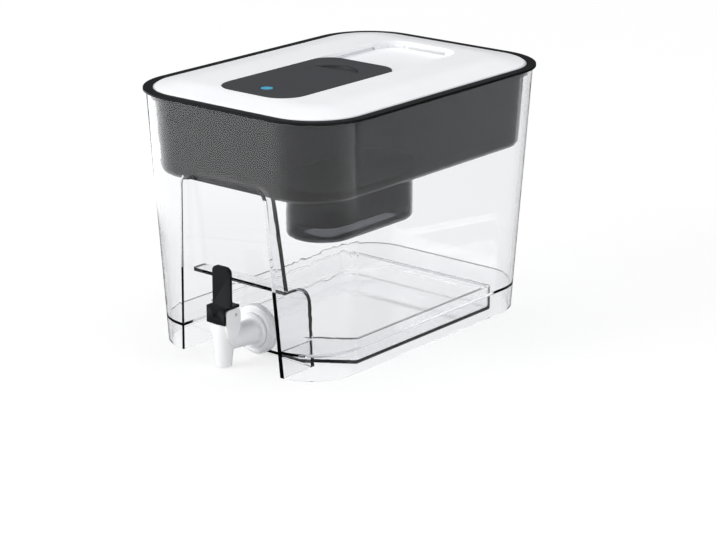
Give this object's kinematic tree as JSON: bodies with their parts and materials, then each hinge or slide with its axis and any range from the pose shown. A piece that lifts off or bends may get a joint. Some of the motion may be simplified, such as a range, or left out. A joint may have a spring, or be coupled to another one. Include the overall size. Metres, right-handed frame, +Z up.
{
  "type": "gravity water filter dispenser with tap",
  "caption": "Rectangular see-through water filter tank with a smoke-tinted filter hopper, a white lid with a sliding hatch, and a white tap with a push-back lever in a front bay.",
  "frame": {"origin": "middle of the tank's footprint, on the ground it stands on", "axes": "+X to the right seen from the tap side, +Y from the tap to the back, +Z up"},
  "size_m": [0.2552, 0.3669, 0.2554],
  "materials": {
    "clear_plastic": "clear, polished",
    "smoke_plastic": "smoke tinted, see-through",
    "white_plastic": "satin white",
    "dark_plastic": "fine matt dark grey",
    "black_plastic": "satin black",
    "indicator_blue": "glossy light blue",
    "seal_rubber": "soft silicone",
    "fleece": "pressed felt",
    "carbon": "granular",
    "steel": "bright",
    "board": "solder mask green"
  },
  "bodies": {
    "tank": {"tank": "clear_plastic", "tap_body": "white_plastic", "tap_collar": "white_plastic", "tap_outer_washer": "seal_rubber", "tap_inner_washer": "seal_rubber", "tap_lock_nut": "white_plastic", "tap_bonnet": "white_plastic", "lever_pin": "steel"},
    "hopper": {"hopper": "smoke_plastic"},
    "filter": {"filter_case": "white_plastic", "filter_cap": "white_plastic", "filter_seal": "seal_rubber", "filter_fleece": "fleece", "filter_medium": "carbon"},
    "lid": {"lid_panel": "white_plastic", "lid_tray": "white_plastic", "lid_seal": "seal_rubber", "lid_screws": "steel"},
    "hatch": {"hatch_cover": "dark_plastic", "hatch_plate": "dark_plastic", "hatch_screws": "steel", "circuit_board": "board", "push_switch": "black_plastic", "status_lamp": "indicator_blue", "coin_cell": "steel", "cell_contacts": "steel", "battery_door": "black_plastic"},
    "button": {"indicator_button": "indicator_blue"},
    "lever": {"lever": "black_plastic"},
    "valve": {"valve_stem": "white_plastic", "valve_cup": "seal_rubber", "valve_spring": "steel"}
  },
  "joints": [
    {"name": "hopper_lift", "type": "slide", "parent": "tank", "child": "hopper", "axis": [0, 0, 1], "range_m": [0, 0.12]},
    {"name": "filter_lift", "type": "slide", "parent": "hopper", "child": "filter", "axis": [0, 0, 1], "range_m": [0, 0.035]},
    {"name": "lid_lift", "type": "slide", "parent": "hopper", "child": "lid", "axis": [0, 0, 1], "range_m": [0, 0.06]},
    {"name": "hatch_slide", "type": "slide", "parent": "lid", "child": "hatch", "axis": [0, 1, 0], "range_m": [0, 0.095]},
    {"name": "button_press", "type": "slide", "parent": "hatch", "child": "button", "axis": [0, 0, -1], "range_m": [0, 0.0005], "stiffness_N_per_m": 300, "springref_m": -0.0005},
    {"name": "lever_pivot", "type": "hinge", "parent": "tank", "child": "lever", "pos_m": [0, -0.1695, 0.052], "axis": [-1, 0, 0], "range_deg": [0, 22], "stiffness_Nm_per_rad": 0.06, "springref_deg": -11.46},
    {"name": "valve_lift", "type": "slide", "parent": "tank", "child": "valve", "axis": [0, 0, 1], "range_m": [0, 0.0018], "deforming": ["valve_spring"]}
  ],
  "couplings": [
    {"joint": "valve_lift", "follows": "lever_pivot", "m_per_rad": 0.0045}
  ]
}
